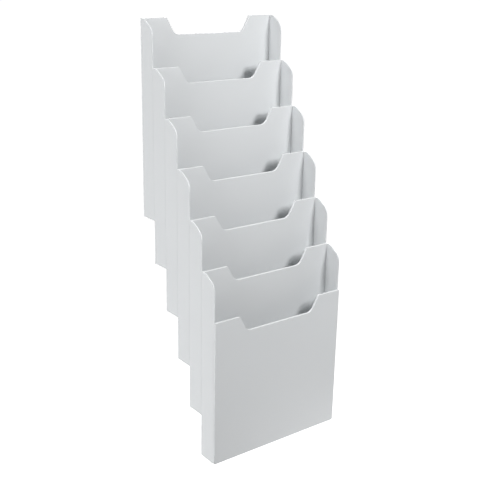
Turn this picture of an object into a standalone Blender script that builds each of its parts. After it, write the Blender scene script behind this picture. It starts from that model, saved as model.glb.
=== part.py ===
"""Vertical file sorter: six moulded document pockets in a wall-hung cascade.

Units are metres, +Z is up and -Y is the front. The origin is on the wall, in the middle of the top
pocket's back face. Each pocket is one moulding. The back wall of the next pocket closes the front of the
one behind it, and a front panel closes the lowest. Snap rivets join the pockets, and four screws hold the
top one to the wall.
"""

import math

import bmesh
import bpy
from mathutils import Matrix, Vector

COLLECTION_NAME = "vertical_file_sorter"
CUTTER_COLLECTION_NAME = "cutters"

# Cascade
POCKET_COUNT = 6
WIDTH = 0.240
POCKET_HEIGHT = 0.300
STEP_DOWN = 0.0686
STEP_FORWARD = 0.0321

# Clearance between pieces that touch
GAP = 0.0003

# Walls of the pocket moulding
BACK_WALL = 0.0035
SIDE_WALL = 0.0020
FLOOR = 0.0025
CORNER_ROUND = 0.0010
CORNER_SEGMENTS = 3
EDGE_ROUND = 0.0005
EDGE_SEGMENTS = 2

# Bevelled front top corner of each side wall
BEVEL_START = 0.0095
BEVEL_DROP = 0.0140
BEVEL_FILLET = 0.0180

# Thumb notch in the top edge of each back wall and of the front panel
NOTCH_TOP_HALF = 0.0765
NOTCH_BOTTOM_HALF = 0.0625
NOTCH_DEPTH = 0.0249
NOTCH_FILLET = 0.0140
NOTCH_SHOULDER = 0.0020

# Shallow fields on the back of each back wall, which leave ribs that bear on the wall
FIELD_DEPTH = 0.0010
FIELD_BOTTOM = 0.0120
FIELD_NOTCH_MARGIN = 0.0100
FIELD_ROUND = 0.0030
CENTRE_RIB_HALF = 0.0120
SCREW_RIB_HALF = 0.0100
EDGE_RIB = 0.0220

# Front panel
PANEL_THICKNESS = 0.0035
PANEL_CORNER = 0.0030

# Lugs just inside each pocket's front edge, and the rivets that go through them
LUG_HEIGHTS = (0.030, 0.130)
LUG_SETBACK = 0.0008
LUG_TALL = 0.022
LUG_REACH = 0.0110
LUG_THICKNESS = 0.0030
LUG_ROUND = 0.0040
RIVET_INSET = 0.0085
RIVET_RADIUS = 0.0020
RIVET_HEAD_RADIUS = 0.0034
RIVET_HEAD_HEIGHT = 0.0014
BARB_RADIUS = 0.0028
BARB_LENGTH = 0.0030
BARB_TIP_RADIUS = 0.0015
SLIT_WIDTH = 0.0008
SLIT_LENGTH = 0.0060

# Wall screws, in a keyhole above and a round hole below on each side
SCREW_SPREAD = 0.062
KEYHOLE_HEIGHT = 0.180
LOWER_HOLE_HEIGHT = 0.060
KEYHOLE_TRAVEL = 0.0095
SCREW_RADIUS = 0.0020
SCREW_HEAD_RADIUS = 0.0040
SCREW_HEAD_HEIGHT = 0.0026
SCREW_CROWN_RADIUS = 0.0028
SCREW_SHOULDER_RADIUS = 0.0037
SCREW_SHOULDER_HEIGHT = 0.0018
SCREW_RIM_HEIGHT = 0.0008
SCREW_LENGTH = 0.030
SCREW_POINT = 0.0045
DRIVE_WIDTH = 0.0011
DRIVE_SPAN = 0.0044
DRIVE_DEPTH = 0.0013

# How far a cutter runs past what it cuts, and how deep a joined piece sinks into its neighbour
OVERRUN = 0.010
SINK = 0.0010

# How curves are faceted, and what counts as one point or one flat face
FILLET_STEP = math.radians(15.0)
ROUND_STEPS = 12
WELD = 1e-6
FLAT_ANGLE = math.radians(0.5)
BEVEL_ANGLE = math.radians(40.0)
ROUND_PROFILE = 0.5
SMOOTH_ANGLE = math.radians(32.0)

HALF_WIDTH = WIDTH / 2
POCKET_DEPTH = STEP_FORWARD - GAP
PANEL_HEIGHT = POCKET_HEIGHT - STEP_DOWN
RIVET_X = HALF_WIDTH - RIVET_INSET
RIVET_HOLE_RADIUS = RIVET_RADIUS + GAP
SCREW_HOLE_RADIUS = SCREW_RADIUS + GAP
HEAD_HOLE_RADIUS = SCREW_HEAD_RADIUS + 2 * GAP
LUG_GRIP = GAP + LUG_SETBACK + LUG_THICKNESS + GAP

PLASTIC = ("moulded_grey_plastic", (0.62, 0.64, 0.64), 0.42, 0.0)
RIVET_PLASTIC = ("rivet_plastic", (0.52, 0.54, 0.54), 0.45, 0.0)
SCREW_STEEL = ("zinc_plated_steel", (0.62, 0.62, 0.60), 0.32, 1.0)


def clear_scene():
    for item in list(bpy.data.objects):
        bpy.data.objects.remove(item, do_unlink=True)


def new_collection(name):
    collection = bpy.data.collections.new(name)
    bpy.context.scene.collection.children.link(collection)
    return collection


def make_material(name, colour, roughness, metallic):
    material = bpy.data.materials.new(name)
    material.use_nodes = True
    shader = material.node_tree.nodes["Principled BSDF"]
    shader.inputs["Base Color"].default_value = (*colour, 1.0)
    shader.inputs["Roughness"].default_value = roughness
    shader.inputs["Metallic"].default_value = metallic
    material.diffuse_color = (*colour, 1.0)
    return material


def add_object(name, mesh, collection):
    item = bpy.data.objects.new(name, mesh)
    collection.objects.link(item)
    return item


def add_cutter(name, mesh, cutters):
    cutter = add_object(name, mesh, cutters)
    cutter.display_type = "WIRE"
    cutter.hide_render = True
    return cutter


def filleted(corners):
    """Points round a closed outline whose corners are (x, y, radius)."""
    points = []
    count = len(corners)
    for index, (x, y, radius) in enumerate(corners):
        corner = Vector((x, y))
        before = Vector(corners[index - 1][:2]) - corner
        after = Vector(corners[(index + 1) % count][:2]) - corner
        if radius <= 0.0:
            points.append(corner)
            continue
        half_angle = before.angle(after) / 2
        tangent = radius / math.tan(half_angle)
        middle = (before.normalized() + after.normalized()).normalized()
        centre = corner + middle * radius / math.sin(half_angle)
        start = corner + before.normalized() * tangent - centre
        turn = start.angle_signed(corner + after.normalized() * tangent - centre)
        steps = max(1, round(abs(turn) / FILLET_STEP))
        for step in range(steps + 1):
            points.append(centre + Matrix.Rotation(-turn * step / steps, 2) @ start)
    return points


def outline_mesh(name, points, thickness):
    """A flat closed outline in X and Y, half its thickness to each side along Z."""
    curve = bpy.data.curves.new(name, "CURVE")
    curve.dimensions = "2D"
    curve.fill_mode = "BOTH"
    curve.extrude = thickness / 2
    spline = curve.splines.new("POLY")
    spline.points.add(len(points) - 1)
    for target, point in zip(spline.points, points):
        target.co = (point[0], point[1], 0.0, 1.0)
    spline.use_cyclic_u = True
    holder = bpy.data.objects.new(name, curve)
    bpy.context.scene.collection.objects.link(holder)
    graph = bpy.context.evaluated_depsgraph_get()
    mesh = bpy.data.meshes.new_from_object(holder.evaluated_get(graph))
    bpy.data.objects.remove(holder, do_unlink=True)
    bpy.data.curves.remove(curve)
    mesh.materials.clear()
    weld(mesh)
    work = bmesh.new()
    work.from_mesh(mesh)
    bmesh.ops.dissolve_limit(work, angle_limit=FLAT_ANGLE, verts=work.verts, edges=work.edges)
    work.to_mesh(mesh)
    work.free()
    return mesh


def across(mesh):
    """Turn an outline drawn in (depth, height) so that its thickness lies along X."""
    mesh.transform(Matrix(((0, 0, 1, 0), (1, 0, 0, 0), (0, 1, 0, 0), (0, 0, 0, 1))))
    return mesh


def facing(mesh, middle):
    """Turn an outline drawn in (across, height) so that its thickness lies along Y, round the depth given."""
    mesh.transform(Matrix(((1, 0, 0, 0), (0, 0, -1, middle), (0, 1, 0, 0), (0, 0, 0, 1))))
    return mesh


def box_mesh(name, low, high):
    mesh = bpy.data.meshes.new(name)
    work = bmesh.new()
    bmesh.ops.create_cube(work, size=1.0)
    size = Vector(high) - Vector(low)
    middle = (Vector(high) + Vector(low)) / 2
    bmesh.ops.scale(work, vec=size, verts=work.verts)
    bmesh.ops.translate(work, vec=middle, verts=work.verts)
    work.to_mesh(mesh)
    work.free()
    return mesh


def turned_mesh(name, profile):
    """A solid turned round the Y axis. The profile runs from the axis to the axis as (radius, y) points."""
    mesh = bpy.data.meshes.new(name)
    work = bmesh.new()
    rail = [work.verts.new((radius, depth, 0.0)) for radius, depth in profile]
    for first, second in zip(rail, rail[1:]):
        work.edges.new((first, second))
    work.to_mesh(mesh)
    work.free()
    holder = bpy.data.objects.new(name, mesh)
    bpy.context.scene.collection.objects.link(holder)
    screw = holder.modifiers.new("turn", "SCREW")
    screw.axis = "Y"
    screw.steps = ROUND_STEPS
    screw.render_steps = ROUND_STEPS
    screw.use_merge_vertices = True
    screw.merge_threshold = WELD
    graph = bpy.context.evaluated_depsgraph_get()
    turned = bpy.data.meshes.new_from_object(holder.evaluated_get(graph))
    bpy.data.objects.remove(holder, do_unlink=True)
    bpy.data.meshes.remove(mesh)
    weld(turned)
    return turned


def combine(target, cutter, operation):
    modifier = target.modifiers.new(cutter.name, "BOOLEAN")
    modifier.operation = operation
    modifier.object = cutter
    modifier.solver = "EXACT"


def settle(target):
    """Replace a piece's modifiers by the mesh that they give, with its doubled corners welded."""
    graph = bpy.context.evaluated_depsgraph_get()
    mesh = bpy.data.meshes.new_from_object(target.evaluated_get(graph))
    target.modifiers.clear()
    target.data = mesh
    weld(mesh)


def weld(mesh):
    work = bmesh.new()
    work.from_mesh(mesh)
    bmesh.ops.remove_doubles(work, verts=work.verts, dist=WELD)
    bmesh.ops.dissolve_degenerate(work, edges=work.edges, dist=WELD)
    bmesh.ops.recalc_face_normals(work, faces=work.faces)
    work.to_mesh(mesh)
    work.free()


def round_edges(target):
    bevel = target.modifiers.new("edge_round", "BEVEL")
    bevel.width = EDGE_ROUND
    bevel.segments = EDGE_SEGMENTS
    bevel.limit_method = "ANGLE"
    bevel.angle_limit = BEVEL_ANGLE


def shade_round(mesh):
    mesh.shade_smooth()
    mesh.set_sharp_from_angle(angle=SMOOTH_ANGLE)


def notch_outline(top):
    """The notch from above the top edge down, about the middle of the width."""
    slope = (NOTCH_TOP_HALF - NOTCH_BOTTOM_HALF) / NOTCH_DEPTH
    above_half = NOTCH_TOP_HALF + slope * OVERRUN
    return filleted([
        (-above_half, top + OVERRUN, 0.0),
        (-NOTCH_BOTTOM_HALF, top - NOTCH_DEPTH, NOTCH_FILLET),
        (NOTCH_BOTTOM_HALF, top - NOTCH_DEPTH, NOTCH_FILLET),
        (above_half, top + OVERRUN, 0.0),
    ])


def panel_outline():
    """The front panel seen from the front, with its notch and its rounded lower corners."""
    return filleted([
        (-HALF_WIDTH, 0.0, PANEL_CORNER),
        (HALF_WIDTH, 0.0, PANEL_CORNER),
        (HALF_WIDTH, PANEL_HEIGHT, 0.0),
        (NOTCH_TOP_HALF, PANEL_HEIGHT, NOTCH_SHOULDER),
        (NOTCH_BOTTOM_HALF, PANEL_HEIGHT - NOTCH_DEPTH, NOTCH_FILLET),
        (-NOTCH_BOTTOM_HALF, PANEL_HEIGHT - NOTCH_DEPTH, NOTCH_FILLET),
        (-NOTCH_TOP_HALF, PANEL_HEIGHT, NOTCH_SHOULDER),
        (-HALF_WIDTH, PANEL_HEIGHT, 0.0),
    ])


def side_outline():
    """A side wall seen from the side as (depth, height), with its bevelled front corner."""
    return filleted([
        (0.0, 0.0, 0.0),
        (0.0, POCKET_HEIGHT, 0.0),
        (-BEVEL_START, POCKET_HEIGHT, BEVEL_FILLET),
        (-POCKET_DEPTH, POCKET_HEIGHT - BEVEL_DROP, BEVEL_FILLET),
        (-POCKET_DEPTH, 0.0, 0.0),
    ])


def round_outer_edges(mesh, depth, corner=0.0):
    """Round the outer edges of a mesh at the given depth, and along lower corners of the given radius."""
    work = bmesh.new()
    work.from_mesh(mesh)
    outer = {
        vert for vert in work.verts
        if abs(vert.co.y - depth) < WELD
        and (abs(abs(vert.co.x) - HALF_WIDTH) < WELD or vert.co.z < corner + WELD)
    }
    bmesh.ops.bevel(
        work,
        geom=[edge for edge in work.edges if outer.issuperset(edge.verts)],
        offset=CORNER_ROUND,
        segments=CORNER_SEGMENTS,
        profile=ROUND_PROFILE,
        affect="EDGES",
    )
    work.to_mesh(mesh)
    work.free()


def pocket_shell(parts, cutters):
    """The walls and floor of one pocket, about its bottom back edge's middle, with rounded edges."""
    block = across(outline_mesh("pocket_block", side_outline(), WIDTH))
    round_outer_edges(block, 0.0)
    shell = add_object("pocket_shell", block, parts)

    inside = box_mesh(
        "inside",
        (-HALF_WIDTH + SIDE_WALL, -POCKET_DEPTH - OVERRUN, FLOOR),
        (HALF_WIDTH - SIDE_WALL, -BACK_WALL, POCKET_HEIGHT + OVERRUN),
    )
    combine(shell, add_cutter("inside", inside, cutters), "DIFFERENCE")

    notch = facing(outline_mesh("notch", notch_outline(POCKET_HEIGHT), 2 * OVERRUN), 0.0)
    combine(shell, add_cutter("notch", notch, cutters), "DIFFERENCE")

    settle(shell)
    round_edges(shell)
    settle(shell)
    return shell


def lug_mesh(side, height):
    """A lug just inside the front edge of one side wall, with one end sunk in the wall."""
    outer = HALF_WIDTH - SIDE_WALL + SINK
    inner = HALF_WIDTH - SIDE_WALL - LUG_REACH
    low = height - LUG_TALL / 2
    high = height + LUG_TALL / 2
    outline = filleted([
        (side * outer, low, 0.0),
        (side * inner, low, LUG_ROUND),
        (side * inner, high, LUG_ROUND),
        (side * outer, high, 0.0),
    ])
    middle = -POCKET_DEPTH + LUG_SETBACK + LUG_THICKNESS / 2
    return facing(outline_mesh("lug", outline, LUG_THICKNESS), middle)


def rod_mesh(name, radius, x, z):
    """A round cutter along Y through the back wall or a lug."""
    mesh = turned_mesh(name, [(0.0, -OVERRUN), (radius, -OVERRUN), (radius, OVERRUN), (0.0, OVERRUN)])
    mesh.transform(Matrix.Translation((x, 0.0, z)))
    return mesh


def keyhole_mesh(x):
    """A keyhole cutter: a round hole for the screw's head below, and a slot for its shank above."""
    steps = [math.pi * step / ROUND_STEPS for step in range(ROUND_STEPS + 1)]
    spread = math.asin(SCREW_HOLE_RADIUS / HEAD_HOLE_RADIUS)
    low = KEYHOLE_HEIGHT - KEYHOLE_TRAVEL
    outline = [
        (x + SCREW_HOLE_RADIUS * math.cos(angle), KEYHOLE_HEIGHT + SCREW_HOLE_RADIUS * math.sin(angle))
        for angle in steps
    ]
    sweep = 2 * (math.pi - spread) / ROUND_STEPS
    outline += [
        (
            x - HEAD_HOLE_RADIUS * math.sin(spread + sweep * step),
            low + HEAD_HOLE_RADIUS * math.cos(spread + sweep * step),
        )
        for step in range(ROUND_STEPS + 1)
    ]
    return facing(outline_mesh("keyhole", outline, 2 * OVERRUN), 0.0)


def field_mesh(low_x, high_x):
    """A shallow field between two ribs on the back of the back wall."""
    top = POCKET_HEIGHT - NOTCH_DEPTH - FIELD_NOTCH_MARGIN
    outline = filleted([
        (low_x, FIELD_BOTTOM, FIELD_ROUND),
        (high_x, FIELD_BOTTOM, FIELD_ROUND),
        (high_x, top, FIELD_ROUND),
        (low_x, top, FIELD_ROUND),
    ])
    return facing(outline_mesh("field", outline, 2 * FIELD_DEPTH), 0.0)


def pocket_mesh(parts, cutters):
    shell = pocket_shell(parts, cutters)
    for side in (-1, 1):
        for height in LUG_HEIGHTS:
            combine(shell, add_cutter("lug", lug_mesh(side, height), cutters), "UNION")
    settle(shell)

    for side in (-1, 1):
        for height in LUG_HEIGHTS:
            front = rod_mesh("lug_hole", RIVET_HOLE_RADIUS, side * RIVET_X, height)
            front.transform(Matrix.Translation((0.0, -POCKET_DEPTH, 0.0)))
            combine(shell, add_cutter("lug_hole", front, cutters), "DIFFERENCE")
            rear = rod_mesh("rivet_hole", RIVET_HOLE_RADIUS, side * RIVET_X, height + STEP_DOWN)
            combine(shell, add_cutter("rivet_hole", rear, cutters), "DIFFERENCE")
        keyhole = keyhole_mesh(side * SCREW_SPREAD)
        combine(shell, add_cutter("keyhole", keyhole, cutters), "DIFFERENCE")
        lower = rod_mesh("screw_hole", SCREW_HOLE_RADIUS, side * SCREW_SPREAD, LOWER_HOLE_HEIGHT)
        combine(shell, add_cutter("screw_hole", lower, cutters), "DIFFERENCE")
        inner = (side * CENTRE_RIB_HALF, side * (SCREW_SPREAD - SCREW_RIB_HALF))
        combine(shell, add_cutter("field", field_mesh(min(inner), max(inner)), cutters), "DIFFERENCE")
        outer = (side * (SCREW_SPREAD + SCREW_RIB_HALF), side * (HALF_WIDTH - EDGE_RIB))
        combine(shell, add_cutter("field", field_mesh(min(outer), max(outer)), cutters), "DIFFERENCE")
    settle(shell)
    mesh = shell.data
    bpy.data.objects.remove(shell, do_unlink=True)
    shade_round(mesh)
    return mesh


def barb_profile(start):
    """The snap end of a rivet or stud as (radius, y), from the lug's back face towards the wall."""
    return [
        (RIVET_RADIUS, start),
        (BARB_RADIUS, start + GAP),
        (BARB_TIP_RADIUS, start + BARB_LENGTH),
        (0.0, start + BARB_LENGTH),
    ]


def slit_mesh(end):
    """The slit that lets a snap end close as it goes in."""
    return box_mesh(
        "slit",
        (-SLIT_WIDTH / 2, end - SLIT_LENGTH, -OVERRUN),
        (SLIT_WIDTH / 2, end + OVERRUN, OVERRUN),
    )


def rivet_mesh(parts, cutters):
    """A snap rivet with its head's back face at y = 0 and its shank towards the wall."""
    grip = GAP + BACK_WALL + LUG_GRIP
    profile = [
        (0.0, -RIVET_HEAD_HEIGHT),
        (RIVET_HEAD_RADIUS - EDGE_ROUND, -RIVET_HEAD_HEIGHT),
        (RIVET_HEAD_RADIUS, -RIVET_HEAD_HEIGHT + EDGE_ROUND),
        (RIVET_HEAD_RADIUS, 0.0),
        (RIVET_RADIUS, 0.0),
    ] + barb_profile(grip)
    rivet = add_object("rivet_blank", turned_mesh("rivet", profile), parts)
    combine(rivet, add_cutter("rivet_slit", slit_mesh(grip + BARB_LENGTH), cutters), "DIFFERENCE")
    settle(rivet)
    mesh = rivet.data
    bpy.data.objects.remove(rivet, do_unlink=True)
    shade_round(mesh)
    return mesh


def stud_mesh(side, height):
    """A snap stud on the back of the front panel, through one lug of the lowest pocket."""
    profile = [(0.0, -SINK), (RIVET_RADIUS, -SINK)] + barb_profile(LUG_GRIP)
    mesh = turned_mesh("stud", profile)
    mesh.transform(Matrix.Translation((side * RIVET_X, 0.0, height)))
    return mesh


def panel_mesh(parts, cutters):
    """The front panel about its bottom back edge's middle, with its snap studs."""
    board = outline_mesh("panel_board", panel_outline(), PANEL_THICKNESS)
    facing(board, -PANEL_THICKNESS / 2)
    round_outer_edges(board, -PANEL_THICKNESS, PANEL_CORNER)
    panel = add_object("panel_blank", board, parts)
    round_edges(panel)
    settle(panel)
    for side in (-1, 1):
        for height in LUG_HEIGHTS:
            combine(panel, add_cutter("stud", stud_mesh(side, height), cutters), "UNION")
    settle(panel)
    for side in (-1, 1):
        for height in LUG_HEIGHTS:
            slit = slit_mesh(LUG_GRIP + BARB_LENGTH)
            slit.transform(Matrix.Translation((side * RIVET_X, 0.0, height)))
            combine(panel, add_cutter("stud_slit", slit, cutters), "DIFFERENCE")
    settle(panel)
    mesh = panel.data
    bpy.data.objects.remove(panel, do_unlink=True)
    shade_round(mesh)
    return mesh


def wall_screw_mesh(parts, cutters):
    """A pan-head screw with its head's back face at y = 0 and its point in the wall."""
    profile = [
        (0.0, -SCREW_HEAD_HEIGHT),
        (SCREW_CROWN_RADIUS, -SCREW_HEAD_HEIGHT),
        (SCREW_SHOULDER_RADIUS, -SCREW_SHOULDER_HEIGHT),
        (SCREW_HEAD_RADIUS, -SCREW_RIM_HEIGHT),
        (SCREW_HEAD_RADIUS, 0.0),
        (SCREW_RADIUS, 0.0),
        (SCREW_RADIUS, SCREW_LENGTH - SCREW_POINT),
        (0.0, SCREW_LENGTH),
    ]
    screw = add_object("screw_blank", turned_mesh("wall_screw", profile), parts)
    for name, reach in (("drive_across", (DRIVE_SPAN, DRIVE_WIDTH)), ("drive_up", (DRIVE_WIDTH, DRIVE_SPAN))):
        recess = box_mesh(
            name,
            (-reach[0] / 2, -SCREW_HEAD_HEIGHT - OVERRUN, -reach[1] / 2),
            (reach[0] / 2, -SCREW_HEAD_HEIGHT + DRIVE_DEPTH, reach[1] / 2),
        )
        combine(screw, add_cutter(name, recess, cutters), "DIFFERENCE")
    settle(screw)
    mesh = screw.data
    bpy.data.objects.remove(screw, do_unlink=True)
    shade_round(mesh)
    return mesh


def corner_name(side, upper):
    return ("upper" if upper else "lower") + ("_right" if side > 0 else "_left")


def place(name, mesh, collection, material, location):
    item = add_object(name, mesh, collection)
    item.location = location
    if not mesh.materials:
        mesh.materials.append(material)
    return item


def pocket_origin(number):
    """The middle of a pocket's bottom back edge. The top pocket, number 1, hangs round the frame's origin."""
    return Vector((0.0, -STEP_FORWARD * (number - 1), -POCKET_HEIGHT / 2 - STEP_DOWN * (number - 1)))


def build():
    clear_scene()
    parts = new_collection(COLLECTION_NAME)
    cutters = new_collection(CUTTER_COLLECTION_NAME)
    plastic = make_material(*PLASTIC)
    rivet_plastic = make_material(*RIVET_PLASTIC)
    steel = make_material(*SCREW_STEEL)

    pocket = pocket_mesh(parts, cutters)
    for number in range(1, POCKET_COUNT + 1):
        place(f"pocket_{number}", pocket, parts, plastic, pocket_origin(number))

    panel_foot = pocket_origin(POCKET_COUNT) + Vector((0.0, -STEP_FORWARD, 0.0))
    place("front_panel", panel_mesh(parts, cutters), parts, plastic, panel_foot)

    rivet = rivet_mesh(parts, cutters)
    for number in range(2, POCKET_COUNT + 1):
        joint = pocket_origin(number) + Vector((0.0, -BACK_WALL - GAP, STEP_DOWN))
        for side in (-1, 1):
            for height in LUG_HEIGHTS:
                upper = height == max(LUG_HEIGHTS)
                name = f"rivet_{number - 1}_to_{number}_{corner_name(side, upper)}"
                place(name, rivet, parts, rivet_plastic, joint + Vector((side * RIVET_X, 0.0, height)))

    screw = wall_screw_mesh(parts, cutters)
    head_seat = pocket_origin(1) + Vector((0.0, -BACK_WALL - GAP, 0.0))
    for side in (-1, 1):
        for upper, height in ((True, KEYHOLE_HEIGHT), (False, LOWER_HOLE_HEIGHT)):
            name = f"wall_screw_{corner_name(side, upper)}"
            place(name, screw, parts, steel, head_seat + Vector((side * SCREW_SPREAD, 0.0, height)))

    for cutter in list(cutters.objects):
        bpy.data.objects.remove(cutter, do_unlink=True)


build()
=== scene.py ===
import math

import bmesh
import bpy
from mathutils import Euler, Matrix, Vector


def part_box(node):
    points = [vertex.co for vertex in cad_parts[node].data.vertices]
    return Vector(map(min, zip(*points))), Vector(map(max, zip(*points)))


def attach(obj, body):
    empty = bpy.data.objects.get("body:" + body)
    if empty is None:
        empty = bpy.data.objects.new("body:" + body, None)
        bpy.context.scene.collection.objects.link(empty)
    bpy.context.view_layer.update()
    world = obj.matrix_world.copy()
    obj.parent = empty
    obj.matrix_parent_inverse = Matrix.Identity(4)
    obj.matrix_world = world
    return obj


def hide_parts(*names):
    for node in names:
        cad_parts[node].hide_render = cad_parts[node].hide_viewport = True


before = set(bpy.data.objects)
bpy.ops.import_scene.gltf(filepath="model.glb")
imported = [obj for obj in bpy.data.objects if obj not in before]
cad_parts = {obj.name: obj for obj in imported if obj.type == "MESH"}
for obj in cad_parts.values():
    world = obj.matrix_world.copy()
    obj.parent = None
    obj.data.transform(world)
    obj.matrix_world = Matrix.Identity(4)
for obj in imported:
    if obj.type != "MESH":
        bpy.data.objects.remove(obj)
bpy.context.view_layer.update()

BODY = "root"

# Cascade, in metres
POCKET_COUNT = 6
WIDTH = 0.240
POCKET_HEIGHT = 0.300
STEP_DOWN = 0.0686
STEP_FORWARD = 0.0321
HALF_WIDTH = WIDTH / 2

# Clearance between pieces that touch, and the narrower one that shows between two pockets
GAP = 0.0003
SEAM = 0.0001
POCKET_DEPTH = STEP_FORWARD - SEAM
PANEL_HEIGHT = POCKET_HEIGHT - STEP_DOWN

# Walls of the pocket moulding, and the rounding of every sharp edge
BACK_WALL = 0.0035
SIDE_WALL = 0.0020
FLOOR = 0.0025
EDGE_ROUND = 0.0005
EDGE_SEGMENTS = 4

# Front panel, with its lower corners and the rounder edges at its outer front
PANEL_THICKNESS = 0.0035
PANEL_CORNER = 0.0030
PANEL_EDGE_ROUND = 0.0010
PANEL_EDGE_SEGMENTS = 6
PANEL_EDGE_PROFILE = 0.5

# Bevelled front corner of the side walls, and the thumb notch
BEVEL_START = 0.0095
BEVEL_DROP = 0.0140
BEVEL_FILLET = 0.0180
NOTCH_TOP_HALF = 0.0765
NOTCH_BOTTOM_HALF = 0.0625
NOTCH_DEPTH = 0.0249
NOTCH_FILLET = 0.0140
NOTCH_SHOULDER = 0.0020

# Fields between the ribs on the back, with ejector marks, and the gate mark under the floor
FIELD_DEPTH = 0.0010
FIELD_BOTTOM = 0.0120
FIELD_NOTCH_MARGIN = 0.0100
FIELD_TOP = POCKET_HEIGHT - NOTCH_DEPTH - FIELD_NOTCH_MARGIN
FIELD_ROUND = 0.0030
CENTRE_RIB_HALF = 0.0120
SCREW_RIB_HALF = 0.0100
EDGE_RIB = 0.0220
EJECTOR_HEIGHTS = (0.040, 0.145, 0.250)
EJECTOR_RADIUS = 0.0035
EJECTOR_DEPTH = 0.00015
GATE_RADIUS = 0.0045
GATE_DEPTH = 0.0004
GATE_STUB_RADIUS = 0.0009
GATE_STUB_SETBACK = GATE_DEPTH / 4

# Lugs, snap rivets and the panel's snap studs
LUG_HEIGHTS = (0.030, 0.130)
LUG_SETBACK = 0.0008
LUG_TALL = 0.022
LUG_REACH = 0.0110
LUG_THICKNESS = 0.0030
LUG_ROUND = 0.0040
LUG_GRIP = GAP + LUG_SETBACK + LUG_THICKNESS + GAP
RIVET_INSET = 0.0085
RIVET_X = HALF_WIDTH - RIVET_INSET
RIVET_RADIUS = 0.0020
RIVET_HEAD_RADIUS = 0.0034
RIVET_HEAD_HEIGHT = 0.0014
BARB_RADIUS = 0.0028
BARB_LENGTH = 0.0030
BARB_TIP_RADIUS = 0.0015
SLIT_WIDTH = 0.0008
SLIT_LENGTH = 0.0060
RIVET_TURN = math.radians(20.0)
RIVET_SEED = 4

# Wall screws, in keyholes above and round holes below
SCREW_SPREAD = 0.062
KEYHOLE_HEIGHT = 0.180
LOWER_HOLE_HEIGHT = 0.060
KEYHOLE_TRAVEL = 0.0095
SCREW_RADIUS = 0.0020
SCREW_HEAD_RADIUS = 0.0040
SCREW_HEAD_HEIGHT = 0.0026
SCREW_CROWN_HEIGHT = 0.72 * SCREW_HEAD_HEIGHT
SCREW_RIM = 0.0002
SCREW_PLAIN = 0.0034
SCREW_NECK = 0.0040
SCREW_LENGTH = 0.030
SCREW_POINT = 0.0045
THREAD_START = 0.0045
THREAD_PITCH = 0.0016
THREAD_CORE = 0.00145
THREAD_ON_POINT = 0.85 * SCREW_POINT
THREAD_TIP_RADIUS = 0.0002
DRIVE_WIDTH = 0.0011
DRIVE_SPAN = 0.0044
DRIVE_DEPTH = 0.0013
SCREW_TURN = math.radians(80.0)
SCREW_SEED = 2

# How far a cutter runs past what it cuts, and how deep a joined piece sinks into its neighbour
OVERRUN = 0.010
SINK = 0.0010

# How finely curves are drawn, which edges count as sharp, and what counts as one point
ARC_STEP = math.radians(6.0)
TURN_STEPS = 40
HEAD_STEPS = 6
CROWN_STEPS = 10
THREAD_STEPS = 28
THREAD_SIDES = 3
BEVEL_ANGLE = math.radians(40.0)
SMOOTH_ANGLE = math.radians(36.0)
WELD = 1e-6

# Finishes
MOULDING_PALE = (0.655, 0.671, 0.682, 1.0)
MOULDING_DEEP = (0.624, 0.641, 0.652, 1.0)
MOULDING_RUBBED = (0.69, 0.71, 0.72, 1.0)
RIVET_PALE = (0.54, 0.56, 0.56, 1.0)
RIVET_DEEP = (0.50, 0.52, 0.52, 1.0)
RIVET_RUBBED = (0.60, 0.62, 0.62, 1.0)
ZINC_DEEP = (0.55, 0.55, 0.52, 1.0)
ZINC_PALE = (0.70, 0.70, 0.69, 1.0)
ZINC_RUBBED = (0.80, 0.80, 0.79, 1.0)
DUST = (0.74, 0.73, 0.70, 1.0)
PLASTIC_IOR = 1.48
COARSER_GRAIN = 0.28
COARSER_GRAIN_WEIGHT = 0.6
SCUFF_START = 0.78
SCUFF_POLISH = -0.10
DUST_DULLING = 0.30

# Photograph's camera
CAMERA_PLACE = (-0.78049, -1.12758, 0.23435)
CAMERA_TURN = (72.0570, -0.9928, -36.6581)
CAMERA_LENS = 65.104
CAMERA_SENSOR = 36.0

# Studio, with its lamps round the middle of the cascade: place, width and power of each
FLOOR_HEIGHT = -1.35
FLOOR_SIZE = 160.0
FLOOR_COLOUR = (0.85, 0.85, 0.85, 1.0)
FLOOR_GLOW_NEAR = 0.93
FLOOR_GLOW_FAR = 1.0
FLOOR_GLOW_START = 3.0
FLOOR_GLOW_END = 7.0
WHITE = (1.0, 1.0, 1.0, 1.0)
WORLD_FILL = 0.05
CASCADE_MIDDLE = (0.0, -0.10, -0.17)
SOFTBOXES = {
    "key_softbox": ((0.304, -1.093, 0.612), 0.45, 14.3),
    "left_softbox": ((-2.799, -0.850, 0.606), 1.20, 20.2),
    "high_left_softbox": ((-1.721, -0.100, 2.287), 1.20, 54.4),
    "low_left_softbox": ((-1.111, 0.096, -0.580), 0.40, 3.6),
    "low_right_softbox": ((0.212, -0.312, -0.690), 0.30, 0.33),
    "back_right_softbox": ((1.304, 1.454, 0.374), 1.00, 12.0),
}


def piece_from(name, mesh):
    piece = bpy.data.objects.new(name, mesh)
    bpy.context.scene.collection.objects.link(piece)
    return piece


def mesh_from(name, form):
    mesh = bpy.data.meshes.new(name)
    bmesh.ops.recalc_face_normals(form, faces=form.faces)
    form.to_mesh(mesh)
    form.free()
    return mesh


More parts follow.
